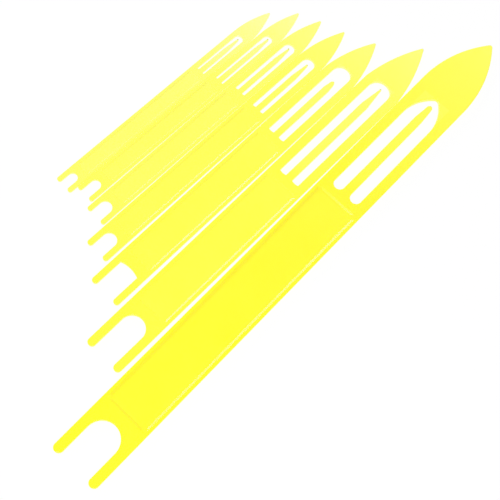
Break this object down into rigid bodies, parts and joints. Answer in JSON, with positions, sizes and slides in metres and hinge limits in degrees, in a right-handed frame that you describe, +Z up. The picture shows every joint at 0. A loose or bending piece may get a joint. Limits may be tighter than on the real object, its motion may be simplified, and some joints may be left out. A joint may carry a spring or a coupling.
{
  "type": "netting needle set",
  "caption": "Graded set of flat netting needles: forked tail, rimmed shaft and a pointed head whose window holds a springy tongue.",
  "frame": {"origin": "on the surface that the set lies on, under the middle of the set's box", "axes": "+X along the largest needle towards its point, +Y from the largest needle towards the smallest, +Z up"},
  "size_m": [0.2792, 0.1112, 0.0026],
  "materials": {
    "needle_1_plastic": "glossy, slightly translucent yellow moulded plastic",
    "needle_2_plastic": "glossy, slightly translucent yellow moulded plastic",
    "needle_3_plastic": "glossy, slightly translucent yellow moulded plastic",
    "needle_4_plastic": "glossy, slightly translucent yellow moulded plastic",
    "needle_5_plastic": "glossy, slightly translucent yellow moulded plastic",
    "needle_6_plastic": "glossy, slightly translucent yellow moulded plastic",
    "needle_7_plastic": "glossy, slightly translucent yellow moulded plastic"
  },
  "bodies": {
    "needle_1": {"needle_1_frame": "needle_1_plastic"},
    "tongue_1": {"needle_1_tongue": "needle_1_plastic"},
    "needle_2": {"needle_2_frame": "needle_2_plastic"},
    "tongue_2": {"needle_2_tongue": "needle_2_plastic"},
    "needle_3": {"needle_3_frame": "needle_3_plastic"},
    "tongue_3": {"needle_3_tongue": "needle_3_plastic"},
    "needle_4": {"needle_4_frame": "needle_4_plastic"},
    "tongue_4": {"needle_4_tongue": "needle_4_plastic"},
    "needle_5": {"needle_5_frame": "needle_5_plastic"},
    "tongue_5": {"needle_5_tongue": "needle_5_plastic"},
    "needle_6": {"needle_6_frame": "needle_6_plastic"},
    "tongue_6": {"needle_6_tongue": "needle_6_plastic"},
    "needle_7": {"needle_7_frame": "needle_7_plastic"},
    "tongue_7": {"needle_7_tongue": "needle_7_plastic"}
  },
  "joints": [
    {"name": "tongue_1_flex", "type": "hinge", "parent": "needle_1", "child": "tongue_1", "pos_m": [0.04012, -0.04275, 0.0013], "axis": [0, -1, 0], "range_deg": [0, 10], "stiffness_Nm_per_rad": 0.452},
    {"name": "needle_2_lift", "type": "slide", "parent": "needle_1", "child": "needle_2", "axis": [0, 0, 1], "range_m": [0, 0.04]},
    {"name": "tongue_2_flex", "type": "hinge", "parent": "needle_2", "child": "tongue_2", "pos_m": [0.02831, -0.0192, 0.00115], "axis": [-0.0108, -0.9999, 0], "range_deg": [0, 10], "stiffness_Nm_per_rad": 0.267},
    {"name": "needle_3_lift", "type": "slide", "parent": "needle_1", "child": "needle_3", "axis": [0, 0, 1], "range_m": [0, 0.04]},
    {"name": "tongue_3_flex", "type": "hinge", "parent": "needle_3", "child": "tongue_3", "pos_m": [0.03651, -0.0004, 0.00105], "axis": [-0.0225, -0.9997, 0], "range_deg": [0, 12], "stiffness_Nm_per_rad": 0.277},
    {"name": "needle_4_lift", "type": "slide", "parent": "needle_1", "child": "needle_4", "axis": [0, 0, 1], "range_m": [0, 0.04]},
    {"name": "tongue_4_flex", "type": "hinge", "parent": "needle_4", "child": "tongue_4", "pos_m": [0.03914, 0.01468, 0.00095], "axis": [-0.0318, -0.9995, 0], "range_deg": [0, 12], "stiffness_Nm_per_rad": 0.206},
    {"name": "needle_5_lift", "type": "slide", "parent": "needle_1", "child": "needle_5", "axis": [0, 0, 1], "range_m": [0, 0.04]},
    {"name": "tongue_5_flex", "type": "hinge", "parent": "needle_5", "child": "tongue_5", "pos_m": [0.03973, 0.02681, 0.0009], "axis": [-0.0368, -0.9993, 0], "range_deg": [0, 12], "stiffness_Nm_per_rad": 0.169},
    {"name": "needle_6_lift", "type": "slide", "parent": "needle_1", "child": "needle_6", "axis": [0, 0, 1], "range_m": [0, 0.04]},
    {"name": "tongue_6_flex", "type": "hinge", "parent": "needle_6", "child": "tongue_6", "pos_m": [0.03682, 0.0375, 0.00085], "axis": [-0.0422, -0.9991, 0], "range_deg": [0, 12], "stiffness_Nm_per_rad": 0.138},
    {"name": "needle_7_lift", "type": "slide", "parent": "needle_1", "child": "needle_7", "axis": [0, 0, 1], "range_m": [0, 0.04]},
    {"name": "tongue_7_flex", "type": "hinge", "parent": "needle_7", "child": "tongue_7", "pos_m": [0.03313, 0.04724, 0.00085], "axis": [-0.0422, -0.9991, 0], "range_deg": [0, 12], "stiffness_Nm_per_rad": 0.171}
  ]
}
